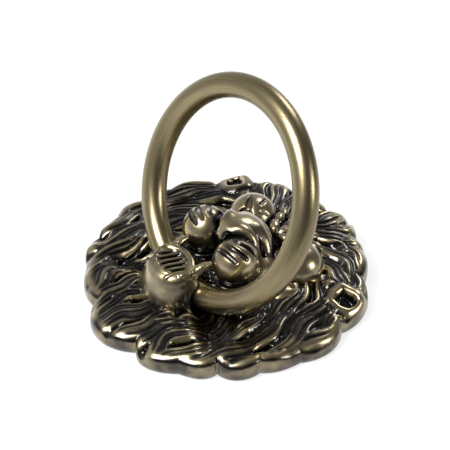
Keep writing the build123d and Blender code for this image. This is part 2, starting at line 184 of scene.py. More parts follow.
# the grid that carries the mane's heights, and each cell's place, radius and angle from the chin
CELL = 0.3
HALF = 66.0
SIDE = int(2 * HALF / CELL) + 1
ticks = np.linspace(-HALF, HALF, SIDE)
GX, GY = np.meshgrid(ticks, ticks, indexing="ij")
GR = np.hypot(GX, GY)
GT = np.degrees(np.arctan2(GX, -GY)) % 360
FREE = 99.0  # a height that nothing reaches


def blurred(field, width):
    """A field on the grid, smoothed over a width in millimetres."""
    freq = np.fft.fftfreq(SIDE, CELL)
    damp = np.exp(-2 * (pi * width * freq) ** 2)
    return np.fft.ifft2(np.fft.fft2(field) * damp[:, None] * damp[None, :]).real


def bar_ceiling():
    """The height below which the casting stays, for the bar to pass over it."""
    ceiling = np.full((SIDE, SIDE), FREE)
    radius = BAR_RADIUS + RUNNING_GAP
    span = int(radius / CELL) + 1
    offset = np.arange(-span, span + 1) * CELL
    gap = (offset[:, None] ** 2 + offset[None, :] ** 2) / radius**2
    sag = radius * np.sqrt(np.clip(1 - gap, 0, 1))
    highest, reach = 24.0, HALF - 7.0  # the bar over higher spots or further out is left out
    for swing in np.arange(0, SWING["range_deg"][1] + 1, SWING_STEP):
        for x, y, z in ring_line(swing):
            if z - radius > highest or abs(x) > reach or abs(y) > reach:
                continue
            i, j = int(round((x + HALF) / CELL)), int(round((y + HALF) / CELL))
            under = np.where(gap < 1, z - sag, FREE)
            part = ceiling[i - span : i + span + 1, j - span : j + span + 1]
            np.minimum(part, under, out=part)
    return ceiling


def sloped(room, slope, steps=40):
    """The same room, with sides that rise at a slope instead of upright."""
    for _ in range(steps):
        for along in (-1, 0, 1):
            for across in (-1, 0, 1):
                rise = slope * CELL * np.hypot(along, across)
                room = np.minimum(room, np.roll(room, (along, across), (0, 1)) + rise)
    return room


# ---- mane ----
def lobe_radius(angle):
    """The radius of the mane's scalloped outline at angles in degrees."""
    angle = np.asarray(angle) % 360
    out = np.zeros_like(angle)
    for k, (tip_at, tip, notch) in enumerate(LOBES):
        before_at, _, notch_before = LOBES[k - 1]
        after_at = LOBES[(k + 1) % len(LOBES)][0]
        start = tip_at - ((tip_at - before_at) % 360) / 2
        end = tip_at + ((after_at - tip_at) % 360) / 2
        share = ((angle - start) % 360) / (end - start)
        floor = notch_before + (notch - notch_before) * share
        bulge = np.sin(pi * np.clip(share, 0, 1)) ** 0.75
        out = np.where(share <= 1, floor + (tip - floor) * bulge, out)
    return out


def lock_relief(field, lock, seed):
    """Raise one lock of hair: a tapered, waving ribbon of rounded strands."""
    root, middle, tip = (np.array(spot, float) for spot in lock[:3])
    widths, rise = LOCK_SPREAD * np.array(lock[3], float), lock[4]
    strands = max(1, round(2 * widths[1] / STRAND_PITCHES[seed % 3]))
    # the lock's middle line: a curve through its three spots, waved to both sides
    handle = 2 * middle - (root + tip) / 2
    t = np.linspace(0, 1, 64)
    spine = (1 - t[:, None]) ** 2 * root + 2 * (t * (1 - t))[:, None] * handle
    spine = spine + (t[:, None] ** 2) * tip
    slope = np.gradient(spine, axis=0)
    length = np.linalg.norm(slope, axis=1).sum()
    slope /= np.linalg.norm(slope, axis=1, keepdims=True)
    wave = np.sin(2 * pi * (LOCK_WAVES * t + 0.37 * seed))
    sway = LOCK_SWAY * length * np.sin(pi * t) ** 0.7 * wave
    spine = spine + np.stack([-slope[:, 1], slope[:, 0]], 1) * sway[:, None]
    slope = np.gradient(spine, axis=0)
    slope /= np.linalg.norm(slope, axis=1, keepdims=True)
    width = np.interp(t, [0, 0.5, 1], widths)
    # the part of the grid near it, and each cell's place across the lock and past its ends
    low = spine.min(0) - width.max() - 1
    high = spine.max(0) + width.max() + 1
    i0, j0 = np.clip(((low + HALF) / CELL).astype(int), 0, SIDE - 1)
    i1, j1 = np.clip(((high + HALF) / CELL).astype(int) + 1, 0, SIDE)
    px, py = GX[i0:i1, j0:j1], GY[i0:i1, j0:j1]
    dx = px[..., None] - spine[:, 0]
    dy = py[..., None] - spine[:, 1]
    near = np.argmin(dx**2 + dy**2, axis=-1)
    pick = np.take_along_axis
    ox = pick(dx, near[..., None], -1)[..., 0]
    oy = pick(dy, near[..., None], -1)[..., 0]
    tx, ty = slope[near, 0], slope[near, 1]
    across = (ox * ty - oy * tx) / width[near]
    over = np.abs(ox * tx + oy * ty)
    past = np.clip(over - 0.4, 0, None) / width[near]
    reach = np.hypot(across, past)
    inside = reach < 1
    along = t[near]
    dome = np.sqrt(np.clip(1 - reach**2, 0, 1))
    # half-round strands side by side, every other one lower, that wander a little
    place = across * 0.5 + 0.5
    place = place + 0.07 * np.sin(2 * pi * (place + 0.23 * seed)) + 0.05 * np.sin(5 * along + seed)
    cord = place * strands
    odd = np.floor(cord).astype(int) % 2
    cord = 2 * (cord - np.floor(cord)) - 1
    strand = np.sqrt(np.clip(1 - cord**2, 0, 1)) * (1 - ODD_STRAND_DROP * odd)
    pitch = 2 * width[near] / strands
    body = rise * dome * (0.6 + 0.4 * np.sin(pi * along))
    z = base[i0:i1, j0:j1] + body + 0.5 * pitch * strand * np.clip(dome * 1.6, 0, 1) - LOCK_SINK
    part = field[i0:i1, j0:j1]
    part[...] = np.where(inside, np.maximum(part, z), part)


# the pointed rim of an ear, seen from in front, and how high it stands over its hollow
EAR_RIM = [
    (42.4, 25.6), (47.2, 26.8), (50.2, 29.4), (50.2, 33.6), (48.2, 37.2), (43.6, 36.4), (38.6, 33.6),
    (39.8, 28.8),
]  # fmt: skip
EAR_CREST, EAR_FLOOR, EAR_ROOT = 10.6, 4.6, 11.8


def ear_relief(field, side):
    """A low cupped ear at the mane's edge: a pointed rim round a deep hollow."""
    x, y = GX * side, GY
    gap = np.full_like(x, FREE)
    within = np.ones_like(x, bool)
    for k, (ax, ay) in enumerate(EAR_RIM):
        bx, by = EAR_RIM[(k + 1) % len(EAR_RIM)]
        ex, ey = bx - ax, by - ay
        share = np.clip(((x - ax) * ex + (y - ay) * ey) / (ex * ex + ey * ey), 0, 1)
        gap = np.minimum(gap, np.hypot(x - ax - share * ex, y - ay - share * ey))
        within &= (x - ax) * ey - (y - ay) * ex < 0
    signed = np.where(within, -gap, gap)
    # the rim is highest near its point and sinks outwards; a fold crosses the hollow
    crest = EAR_CREST + 1.2 * np.exp(-(((x - 47) ** 2 + (y - 38) ** 2) / 22)) - 0.26 * (x - 44)
    rim = crest - 0.75 * np.clip(gap - 0.35, 0, None) ** 2
    ridge = np.exp(-(((y - 32.0 - 0.55 * (x - 44)) / 1.1) ** 2))
    ridge = 1.2 * ridge * np.clip((-signed - 0.6) / 1.5, 0, 1)
    cup = EAR_FLOOR + 0.5 * np.clip(47 - x, 0, 9) + ridge
    wall = crest - 0.35 * np.clip(signed - 0.5, 0, None) ** 1.6
    z = np.where(signed < -0.5, np.maximum(rim, cup), np.where(signed > 0.5, wall, rim))
    # the ear's root, a smooth knob on the side of the forehead
    knob = EAR_ROOT - 0.13 * ((x - 34) ** 2 + (y - 30.5) ** 2)
    reachable = signed < 3.4
    np.copyto(field, np.where(reachable, z, np.where(knob > 7.5, np.maximum(field, knob), field)))


# the mane's heights, worked out in stages
GROUND = 2.4  # how far the ground between the locks lies under their roots
CALM_TO, CALM_OVER = 4.6, 3.0  # the strands fade this far in from the rim, over this width
ROLL, ROLL_DROP = 3.2, 1.44  # the rim's rounded edge: how wide, and how far it falls
VALLEY_SLOPE, VALLEY_DEPTH = 0.6, 0.7  # of the valley that the bar passes through
SKIN = 2.2  # from the hair to the hollow under it

outline = lobe_radius(GT)
inset = outline - GR
# a low dome round the forehead, which flattens out towards the chin
base = np.interp(np.hypot(GX, GY - 8), [0, 26, 40, 50, 58], [11.4, 10.6, 8.8, 7.4, 6.8])
base -= 0.8 * np.exp(-(((GX / 22) ** 2) + ((GY + 36) / 10) ** 2))
base += 1.5 * np.clip((GY - 16) / 26, 0, 1)
relief = base - GROUND
for k, lock in enumerate(LOCKS):
    lock_relief(relief, lock, k)
for side in (-1, 1):
    ear_relief(relief, side)
# towards the rim the strands soften, but not over the ears
calm = np.clip((CALM_TO - inset) / CALM_OVER, 0, 1)
calm = calm * calm * (3 - 2 * calm)
calm *= 1 - 0.85 * np.exp(-((np.abs(GX) - 46) ** 2 + (GY - 32) ** 2) / 60)
relief = relief * (1 - calm) + blurred(relief, 1.1) * calm
edge = np.clip((ROLL - inset) / ROLL, 0, 1)
relief = relief * (1 - edge**2) + (relief - ROLL_DROP) * edge**2
ceiling = bar_ceiling()
# where the bar passes, the hair sinks with its strands in a valley with soft sides
swell = blurred(relief, 1.8)
valley = np.minimum(swell, sloped(ceiling, VALLEY_SLOPE) - VALLEY_DEPTH)
relief = blurred(valley - swell, 2.0) + relief
relief = np.minimum(relief, ceiling)
relief = blurred(relief, 0.22)
proud = relief - blurred(relief, 1.3)  # above its surroundings, or below them in a groove
relief_low = blurred(relief, 2.0) - SKIN


def sampled(field, x, y):
    """Read a grid field at points, between its cells."""
    u = np.clip((x + HALF) / CELL, 0, SIDE - 1.001)
    v = np.clip((y + HALF) / CELL, 0, SIDE - 1.001)
    i, j = u.astype(int), v.astype(int)
    a, b = u - i, v - j
    low = field[i, j] * (1 - b) + field[i, j + 1] * b
    high = field[i + 1, j] * (1 - b) + field[i + 1, j + 1] * b
    return low * (1 - a) + high * a


def mesh_object(name, verts, faces):
    """A smooth piece from vertices in millimetres and faces."""
    mesh = bpy.data.meshes.new(name)
    mesh.from_pydata((np.asarray(verts) * MM).tolist(), [], np.asarray(faces).tolist())
    mesh.validate()
    mesh.shade_smooth()
    return placed(name, mesh)


def paint(obj, rub_and_shade):
    """Store how far the patina is rubbed off, from 0 in the recesses to 1, on each vertex; in places it
    is lowered further as painted shade.
    """
    layer = obj.data.attributes.new("rub_and_shade", "FLOAT", "POINT")
    rub_and_shade = np.broadcast_to(np.clip(rub_and_shade, 0, 1), len(obj.data.vertices))
    layer.data.foreach_set("value", rub_and_shade.astype(np.float32))


def make_mane():
    """The mane as one closed shell: relief on top, rolled rim, and an open-backed underside."""
    turns = 800
    angle = np.linspace(0, 360, turns, endpoint=False)
    rim = lobe_radius(angle)
    upper_edge, lower_edge = rim - 0.15, rim - 5.2
    # its inner edge is a circle under the face
    lean = HEAD_AT * np.cos(np.radians(angle))
    inner = np.sqrt(lean**2 + MANE_INNER_RADIUS**2 - HEAD_AT**2) - lean
    shares = np.concatenate([np.linspace(0, 0.3, 14, endpoint=False), np.linspace(0.3, 1, 80)])
    sx, sy = np.sin(np.radians(angle)), -np.cos(np.radians(angle))
    rows, rub_and_shade = [], []
    for share in shares:
        r = inner + (upper_edge - inner) * share
        x, y = r * sx, r * sy
        z = sampled(relief, x, y)
        rows.append(np.stack([x, y, z], 1))
        # hands rub the rim most, and everywhere the crests more than the grooves
        near_rim = np.clip((r - rim + 10) / 8, 0, 1) * 0.24
        rub_and_shade.append(0.33 + near_rim + sampled(proud, x, y) / 0.8)
    top = rows[-1][:, 2]
    # side wall, leaning out and then rolled under: share of the way down, millimetres out, rub, which
    # falls lower down as painted shade under the rolled rim
    for drop, out, shade in ((0.12, 0.45, 0.72), (0.3, 0.75, 0.74), (0.55, 0.85, 0.7), (0.8, 0.6, 0.62),
                             (0.94, 0.1, 0.5), (1.0, -0.7, 0.4), (1.0, -4.5, 0.3)):
        r = upper_edge + out
        rows.append(np.stack([r * sx, r * sy, top * (1 - drop)], 1))
        rub_and_shade.append(np.full(turns, shade))
    # underside, from the rim back to the inner edge
    for share in (1, 0.93, 0.84, 0.74, 0.64, 0.54, 0.44, 0.34, 0.24, 0.16, 0.08, 0):
        r = inner + (lower_edge - inner) * share
        x, y = r * sx, r * sy
        rows.append(np.stack([x, y, np.clip(sampled(relief_low, x, y), 0.6, None)], 1))
        rub_and_shade.append(np.full(turns, BACK_RUB))
    verts = np.concatenate(rows)
    count = len(rows)
    k = np.arange(turns)
    quads = []
    for row in range(count):
        a = row * turns
        b = ((row + 1) % count) * turns
        quads.append(np.stack([a + k, b + k, b + (k + 1) % turns, a + (k + 1) % turns], 1))
    obj = mesh_object("mane", verts, np.concatenate(quads))
    paint(obj, np.concatenate(rub_and_shade))
    return obj


# ---- rounded forms, each a field that is negative inside ----
def egg(p, middle, radii):
    """An ellipsoid."""
    x, y, z = ((p[i] - middle[i]) / radii[i] for i in range(3))
    k = np.sqrt(x * x + y * y + z * z)
    g = np.sqrt((x / radii[0]) ** 2 + (y / radii[1]) ** 2 + (z / radii[2]) ** 2) + 1e-6
    return k * (k - 1) / g


def bar(p, start, end, start_radius, end_radius):
    """A round-ended bar that tapers."""
    start, end = np.array(start, float), np.array(end, float)
    along = end - start
    t = sum((p[i] - start[i]) * along[i] for i in range(3)) / (along @ along)
    t = np.clip(t, 0, 1)
    gap = np.sqrt(sum((p[i] - start[i] - t * along[i]) ** 2 for i in range(3)))
    return gap - (start_radius + (end_radius - start_radius) * t)


def chain(p, points, radii):
    """A bent bar that runs smoothly through several points."""
    spots = np.column_stack([np.array(points, float), np.array(radii, float)])
    count = len(spots)
    line = []
    for k in range(count - 1):
        a, b = spots[max(k - 1, 0)], spots[k]
        c, d = spots[k + 1], spots[min(k + 2, count - 1)]
        for t in (0, 0.25, 0.5, 0.75):
            line.append(0.5 * (2 * b + (c - a) * t + (2 * a - 5 * b + 4 * c - d) * t**2
                               + (3 * b - a - 3 * c + d) * t**3))
    line.append(spots[-1])
    line = np.array(line)
    # only places near it are worked out, and the others count as far off
    near_by, far_off = 6, 5.0
    low, high = line[:, :3].min(0) - near_by, line[:, :3].max(0) + near_by
    inside = np.ones(np.shape(p[0]), bool)
    for i in range(3):
        inside &= (p[i] > low[i]) & (p[i] < high[i])
    out = np.full(np.shape(p[0]), far_off)
    near = [p[i][inside] for i in range(3)]
    if near[0].size:
        gap = bar(near, line[0, :3], line[1, :3], line[0, 3], line[1, 3])
        for k in range(1, len(line) - 1):
            other = bar(near, line[k, :3], line[k + 1, :3], line[k, 3], line[k + 1, 3])
            gap = np.minimum(gap, other)
        out[inside] = gap
    return out


def blend(a, b, soft):
    """Two forms run together with a soft hollow between them."""
    h = np.clip(0.5 + 0.5 * (b - a) / soft, 0, 1)
    return b + (a - b) * h - soft * h * (1 - h)


def carve(a, b, soft):
    """Form b cut out of form a with a soft edge."""
    return -blend(-a, b, soft)


def meet(a, b, soft):
    """Where two forms overlap, with a rounded edge."""
    corner = np.hypot(np.clip(a + soft, 0, None), np.clip(b + soft, 0, None))
    return np.minimum(np.maximum(a + soft, b + soft), 0) + corner - soft


def bar_room(p):
    """The room that the ring's bar turns in, near the hinge."""
    x, y, z = (p[i] - HINGE[i] for i in range(3))
    across = x * HINGE_AXIS[0] + y * HINGE_AXIS[1]
    ahead = -x * HINGE_AXIS[1] + y * HINGE_AXIS[0]
    inner = RING_RADIUS - BAR_RADIUS
    reach = RING_RADIUS - np.sqrt(np.clip(inner**2 - across**2, 1, None))
    return np.sqrt(ahead**2 + z**2) - reach - RUNNING_GAP


def rises(form, verts, step):
    """A form's field at points, and how much it grows one step further along each axis."""
    here = form(list(verts.T))
    ahead = [form(list((verts + np.eye(3)[i] * step).T)) - here for i in range(3)]
    return here, np.stack(ahead, 1)


def surface(name, form, low, high, cell):
    """A closed mesh round a form, in a box and with cells of a size in millimetres.

    Each cell that the surface crosses gets one vertex, and each crossed edge of the grid one face.
    """
    low, high = np.array(low, float), np.array(high, float)
    size = ((high - low) / cell).astype(int) + 1
    grid = np.meshgrid(*(low[i] + cell * np.arange(size[i]) for i in range(3)), indexing="ij")
    value = form(grid).astype(np.float32)
    for side in (0, -1):
        value[side], value[:, side], value[:, :, side] = 1, 1, 1
    solid = value < 0
    shape = tuple(size - 1)
    total = np.zeros(shape + (3,), np.float32)
    hits = np.zeros(shape, np.int16)
    around = slice(None)

    def corner(field, dx, dy, dz):
        return field[dx : dx + shape[0], dy : dy + shape[1], dz : dz + shape[2]]

    for axis in range(3):
        others = [i for i in range(3) if i != axis]
        for a in (0, 1):
            for b in (0, 1):
                first = [0, 0, 0]
                first[others[0]], first[others[1]] = a, b
                last = list(first)
                last[axis] = 1
                crossed = corner(solid, *first) != corner(solid, *last)
                v0, v1 = corner(value, *first)[crossed], corner(value, *last)[crossed]
                spot = np.tile(np.array(first, np.float32), (v0.size, 1))
                spot[:, axis] = v0 / (v0 - v1)
                total[crossed] += spot
                hits[crossed] += 1
    # a cell's vertex is the middle of the spots where its edges are crossed
    used = np.argwhere(hits > 0)
    number = np.full(shape, -1, np.int64)
    number[tuple(used.T)] = np.arange(len(used))
    verts = used + total[tuple(used.T)] / hits[tuple(used.T)][:, None]
    verts = low + verts * cell
    quads = []
    for axis in range(3):
        b, c = (axis + 1) % 3, (axis + 2) % 3
        near = solid[tuple(slice(0, -1) if i == axis else around for i in range(3))]
        far = solid[tuple(slice(1, None) if i == axis else around for i in range(3))]
        spots = np.argwhere(near != far)
        keep = (spots[:, b] > 0) & (spots[:, c] > 0)
        keep &= (spots[:, b] < shape[b]) & (spots[:, c] < shape[c])
        spots = spots[keep]
        outward = near[tuple(spots.T)]
        ring = []
        for db, dc in ((-1, -1), (0, -1), (0, 0), (-1, 0)):
            beside = spots.copy()
            beside[:, b] += db
            beside[:, c] += dc
            ring.append(number[tuple(beside.T)])
        quad = np.stack(ring, 1)
        quad[~outward] = quad[~outward][:, ::-1]
        quads.append(quad)
    # settle the vertices on the form itself
    step, most = 0.05, 0.3 * cell
    for _ in range(2):
        here, rise = rises(form, verts, step)
        slope = rise / step
        move = -here[:, None] * slope / (np.sum(slope**2, 1, keepdims=True) + 1e-6)
        verts = verts + np.clip(move, -most, most)
    return mesh_object(name, verts, np.concatenate(quads)), verts


def openness(form, verts):
    """How open a surface is: the form's field a little way out along its normal, as a share."""
    _, normal = rises(form, verts, 0.2)
    normal /= np.linalg.norm(normal, axis=1, keepdims=True) + 1e-6
    ways = (0.8, 1.6, 3.52)  # millimetres out
    return sum(form(list((verts + normal * way).T)) / way for way in ways) / len(ways)


# ---- face ----
def head_hollow(p, extra=0.0):
    """The hollow behind the head and the pocket behind the muzzle, with draft on their walls."""
    x, y, z = p
    draft = radians(HEAD_DRAFT)
    wall = (np.hypot(x, y - HEAD_AT) - HEAD_RADIUS - extra + z * np.tan(draft)) * cos(draft)
    a, b, tall = FOREHEAD_RADII
    dome = tall * np.sqrt(np.clip(1 - (x / a) ** 2 - ((y - FOREHEAD_AT) / b) ** 2, 0, 1))
    head = np.maximum(wall, z - np.minimum(HEAD_DEPTH, dome - CASTING_WALL))
    taper = MUZZLE_TAPER * z
    side = np.abs(x) - MUZZLE_HALF_WIDTH + taper
    pocket = np.maximum(side, np.abs(y - MUZZLE_AT) - MUZZLE_HALF_LENGTH + taper)
    return np.minimum(head, np.maximum(pocket, z - MUZZLE_DEPTH))


def face_form(p):
    """The lion's face above the mouth: muzzle, nose, brows, eyes and forehead curls."""
    x, y, z = p
    q = (np.abs(x), y, z)
    out = egg(q, (0, FOREHEAD_AT, 0), FOREHEAD_RADII)
    # the broad smooth bridge, cut back over the mouth
    bridge = egg(q, (0, 5.5, 15.5), (13.4, 16.4, 15.1))
    out = blend(out, meet(bridge, -0.8 - y, 2.0), 2.5)
    # snout and cheeks under the pads
    out = blend(out, egg(q, (14, 7, 9), (9.5, 12, 10.5)), 2)
    out = blend(out, egg(q, (28.5, 11.5, 3.8), (6.6, 9.5, 8.4)), 1.5)
    out = blend(out, egg(q, (12.5, -2.4, 11.8), (8.4, 8.6, 1.4)), 0.7)
    # brow over each eye: a rounded tuft with a slit and fine lines on its inner side
    out = blend(out, egg(q, (18.6, 25.2, 10.3), (10.7, 10.6, 10.6)), 0.9)
    out = carve(out, egg(q, (13.6, 17.4, 18.0), (4.2, 4.0, 6)), 0.8)
    out = blend(out, egg(q, (14.8, 18.2, 13.6), (2.9, 2.6, 2.8)), 0.3)
    for near, far, near_radius, far_radius in (
        ((20.5, 25.2, 21.2), (15.2, 20.6, 20.0), 0.9, 1.7),
        ((14.4, 26.8, 20.2), (16.8, 30.8, 19.6), 0.8, 0.5),
        ((11.4, 25.0, 18.8), (10.2, 27.8, 16.8), 0.8, 0.5),
    ):
        out = carve(out, bar(q, near, far, near_radius, far_radius), 0.4)
    # the outer fold, from the bridge down beside the pads
    fold = chain(
        q,
        [(4.4, 13.6, 24.4), (8.4, 14.2, 21.4), (11.6, 13.4, 17.4), (14.2, 12.4, 12.6), (15.8, 11.8, 8)],
        [2.4, 2.8, 3.0, 3.0, 2.8],
    )
    out = blend(out, fold, 2.4)
    # nose: its leather, the deep nostrils and the arched wings over them
    out = blend(out, egg(q, (0, 2.6, 24.4), (3.8, 5.4, 5.2)), 1.6)
    out = carve(out, bar(q, (3.9, -0.4, 26.6), (11.2, 4.2, 25.8), 2.7, 2.2), 0.8)
    wing = chain(
        q,
        [(1.2, -1.0, 24.2), (2.2, 1.6, 26.9), (4.0, 4.6, 28.5), (6.2, 6.6, 27.9), (8.4, 7.8, 25.8),
         (10.5, 8.1, 22.9), (12.8, 7.9, 19.2), (15.2, 7.6, 15.0)],
        [1.3, 1.7, 2.0, 2.2, 2.3, 2.3, 2.2, 2.0],
    )
    out = blend(out, wing, 2.4)
    groove = chain(
        q,
        [(5.0, 9.9, 29.6), (8.4, 10.6, 27.4), (11.2, 10.8, 23.8), (13.7, 10.4, 19.2), (16.0, 9.9, 14.5)],
        [0.4, 0.8, 1.0, 1.1, 1.1],
    )
    out = carve(out, groove, 0.7)
    # muzzle pads with three whisker slots each, and the cleft between them
    pad = egg(q, (12.5, -1.4, 20), (9.7, 9.8, 9.6))
    pad = carve(pad, bar(q, (3.4, 1.6, 28.6), (9.6, 4.6, 27.6), 2.2, 1.8), 0.6)
    out = blend(out, pad, 0.7)
    for slot in (
        [(9.4, -1.0, 29.2), (13.0, 0.2, 29.4), (18.6, 4.0, 25.4)],
        [(9.2, -4.6, 28.6), (13.8, -3.9, 29.0), (19.6, -0.6, 26.2)],
        [(9.6, -7.6, 26.9), (13.4, -7.0, 27.5), (18.8, -5.2, 26.0)],
    ):
        out = carve(out, chain(q, slot, [0.8, 1.2, 0.9]), 0.35)
    out = carve(out, bar(q, (0, -10, 16), (0, -2, 24), 2.6, 1.2), 1.0)
    # short curls over the forehead, low behind the bridge
    for cx, cy, cz, turn in ((0.6, 29.0, 12.6, 0.3), (5.0, 27.4, 13.0, 0.9), (3.2, 33.6, 12.2, -0.3),
                             (8.6, 31.8, 12.6, 0.6), (0.8, 38.0, 11.2, 0.1), (12.4, 36.4, 10.6, 0.9),
                             (7.4, 38.2, 10.8, -0.2)):
        dx, dy = 3.2 * sin(turn), 3.2 * cos(turn)
        curl = chain(
            q,
            [(cx - dx, cy - dy, cz - 1), (cx - 0.4 * dx - 0.7, cy - 0.4 * dy, cz + 1.0),
             (cx + 0.5 * dx, cy + 0.5 * dy, cz + 1.2), (cx + dx + 0.8, cy + dy, cz - 0.6)],
            [1.5, 2.2, 2.1, 1.3],
        )
        out = blend(out, curl, 0.4)
    # the bar turns in front of it, its back is hollow, and its edge keeps out of the mane's hollow
    out = np.maximum(out, -bar_room(p))
    out = np.maximum(out, -head_hollow(p, LINING))
    edge = MANE_HOLLOW_INNER - 0.5 - np.hypot(x, y)
    out = np.maximum(out, -np.maximum(edge, z - MANE_HOLLOW_DEPTH - LINING))
    return np.maximum(out, 1.5 - z)


def jaw_form(p):
    """The chin with its bearded panel, the lower lip and the two fangs."""
    x, y, z = p
    q = (np.abs(x), y, z)
    # a smooth bell that widens to its foot, cut off behind at the mouth
    drop = np.clip(20.5 - z, 0, None) / 16
    wide, deep = 9.6 + 5.6 * drop**0.6, 8.0 + 5.4 * drop**0.6
    out = (np.hypot(x / wide, (y + 24.4 + 1.3 * drop) / deep) - 1) * np.minimum(wide, deep) * 0.94
    out = meet(out, z - 20.9, 3.0)
    out = blend(out, egg(q, (0, -24.6, 18.0), (10.6, 7.6, 3.6)), 2.5)
    out = meet(out, y + 17.0, 1.6)
    # lip that overhangs the mouth, and its edge that flares down to the corner
    lip = chain(
        q,
        [(-3, -17.2, 19.8), (3, -17.1, 19.8), (6.4, -17.9, 18.6), (9.0, -19.2, 15.2), (11.4, -20.4, 11.4),
         (13.6, -22.0, 7.4), (15.6, -23.6, 4.6)],
        [1.8, 1.8, 1.9, 2.0, 2.0, 2.0, 1.9],
    )
    out = blend(out, lip, 2.6)
    # sunk panel inside a raised rim, with strands of beard along it
    out = carve(out, egg(q, (0, -23.6, 23.8), (10.4, 7.6, 4.9)), 0.5)
    turn = np.linspace(0, 0.60 * pi, 7)
    rim = [(9.8 * sin(t), -23.0 + 6.3 * cos(t), 20.4 - 0.9 * (t / pi) ** 2) for t in turn]
    out = blend(out, chain(q, rim, [1.2] * len(rim)), 0.7)
    for k in range(6):
        sx = -7.8 + 3.0 * k
        strand = chain(
            p,
            [(sx + 1.4, -19.0, 20.0), (sx + 0.7, -22.6, 20.0), (sx - 0.2, -27.6, 20.2),
             (sx - 0.5, -30.6, 19.4)],
            [0.6, 0.85, 0.95, 0.9],
        )
        out = blend(out, strand, 0.3)
    fang = chain(q, [(9.0, -18.4, 18.8), (9.3, -15.0, 20.6), (9.6, -12.0, 21.0)], [2.4, 1.8, 1.3])
    out = blend(out, fang, 0.9)
    out = np.maximum(out, -bar_room(p))
    return np.maximum(out, 4.65 - z)


def tongue_form(p):
    """The tongue at the bottom of the mouth, under and behind the bar."""
    x, y, z = p
    out = egg(p, (0, -7.6, 5), (13.0, 5.6, 7.4))
    grain = 0.35 * np.sin(x * 1.9 + np.sin(y * 2.1)) * np.sin(z * 2.3 + y)
    out = out + grain
    out = np.maximum(out, -bar_room(p))
    out = np.maximum(out, -head_hollow(p, LINING))
    return np.maximum(out, 1.7 - z)


def back_form(p):
    """The casting's back: its flat land, ring-shaped hollow, bosses and counterbores."""
    x, y, z = p
    r = np.hypot(x, y)
    # its upper side stays under the hair and its rim inside the mane's
    cover = 0.9 * np.clip((np.hypot(x, y - HEAD_AT) - MANE_INNER_RADIUS) / 2, 0, 1)
    out = np.maximum(r + 3.0 - sampled(outline, x, y), z + cover - sampled(relief, x, y))
    out = np.maximum(out, 0.05 - z)
    boss = np.hypot(np.abs(x) - INSERT_AT, y)
    screw = np.hypot(np.abs(x) - SCREW_AT[0], y - SCREW_AT[1])
    roof = np.minimum(MANE_HOLLOW_DEPTH, sampled(relief_low, x, y) + 0.6)
    hollow = np.maximum(np.maximum(MANE_HOLLOW_INNER - r, r - MANE_HOLLOW_OUTER), z - roof)
    land = np.maximum(np.abs(x) - JAW_LAND_HALF_WIDTH, y - JAW_LAND_TOP)
    hollow = np.maximum(hollow, -land)
    hollow = np.maximum(hollow, BOSS_RADIUS - boss)
    out = np.maximum(out, -hollow)
    out = np.maximum(out, -head_hollow(p))
    out = np.maximum(out, -np.maximum(screw - COUNTERBORE_RADIUS, z - COUNTERBORE_DEPTH))
    return np.maximum(out, -np.maximum(boss - INSERT_RADIUS, z - INSERT_LENGTH))


# ---- ring, swept by Geometry Nodes ----
def sweep_tree():
    """A bar of round section swept round a circle, with the place round it kept for the grain."""
    tree = bpy.data.node_groups.new("ring_sweep", "GeometryNodeTree")
    tree.interface.new_socket("Geometry", in_out="OUTPUT", socket_type="NodeSocketGeometry")
    for name, kind in (("Radius", "Float"), ("Bar radius", "Float"), ("Material", "Material")):
        tree.interface.new_socket(name, in_out="INPUT", socket_type="NodeSocket" + kind)
    given = add_node(tree, "NodeGroupInput")
    kept = []
    for name, radius, corners in (("along", "Radius", 360), ("across", "Bar radius", 64)):
        circle = add_node(tree, "GeometryNodeCurvePrimitiveCircle", Resolution=corners,
                          links={"Radius": given.outputs[radius]})
        place = add_node(tree, "GeometryNodeSplineParameter")
        kept.append(add_node(tree, "GeometryNodeStoreNamedAttribute", data_type="FLOAT", Name=name,
                             links={"Geometry": circle.outputs["Curve"],
                                    "Value": place.outputs["Factor"]}))
    swept = add_node(tree, "GeometryNodeCurveToMesh",
                     links={"Curve": kept[0].outputs["Geometry"],
                            "Profile Curve": kept[1].outputs["Geometry"]})
    smooth = add_node(tree, "GeometryNodeSetShadeSmooth",
                      links={"Geometry": swept.outputs["Mesh"]})
    real = add_node(tree, "GeometryNodeRealizeInstances",
                    links={"Geometry": smooth.outputs["Geometry"]})
    clad = add_node(tree, "GeometryNodeSetMaterial",
                    links={"Geometry": real.outputs["Geometry"],
                           "Material": given.outputs["Material"]})
    add_node(tree, "NodeGroupOutput", links={"Geometry": clad.outputs["Geometry"]})
    return tree


def make_ring(material):
    """The plain round ring, raised and leaning back over the nose."""
    tree = sweep_tree()
    seed = placed("ring_seed", bpy.data.meshes.new("ring_seed"))
    modifier = seed.modifiers.new("sweep", "NODES")
    modifier.node_group = tree
    given = {"Radius": RING_RADIUS * MM, "Bar radius": BAR_RADIUS * MM, "Material": material}
    for item in tree.interface.items_tree:
        if item.name in given:
            modifier[item.identifier] = given[item.name]
    graph = bpy.context.evaluated_depsgraph_get()
    mesh = bpy.data.meshes.new_from_object(seed.evaluated_get(graph))
    seed.modifiers.clear()
    bpy.data.objects.remove(seed)
    lean = radians(RING_LEAN)
    side = Vector(HINGE_AXIS)
    forward = Vector((-side.y, side.x, 0))
    up = forward * sin(lean) + Vector((0, 0, cos(lean)))
    middle = Vector(HINGE * MM) + up * RING_RADIUS * MM
    for vertex in mesh.vertices:
        x, y, z = vertex.co
        vertex.co = middle + side * x + up * y + side.cross(up) * z
    mesh.name = "ring_bar"
    return placed("ring_bar", mesh)


# ---- finishes ----
def new_material(name):
    material = bpy.data.materials.new(name)
    material.use_nodes = True
    tree = material.node_tree
    tree.nodes.clear()
    return material, tree


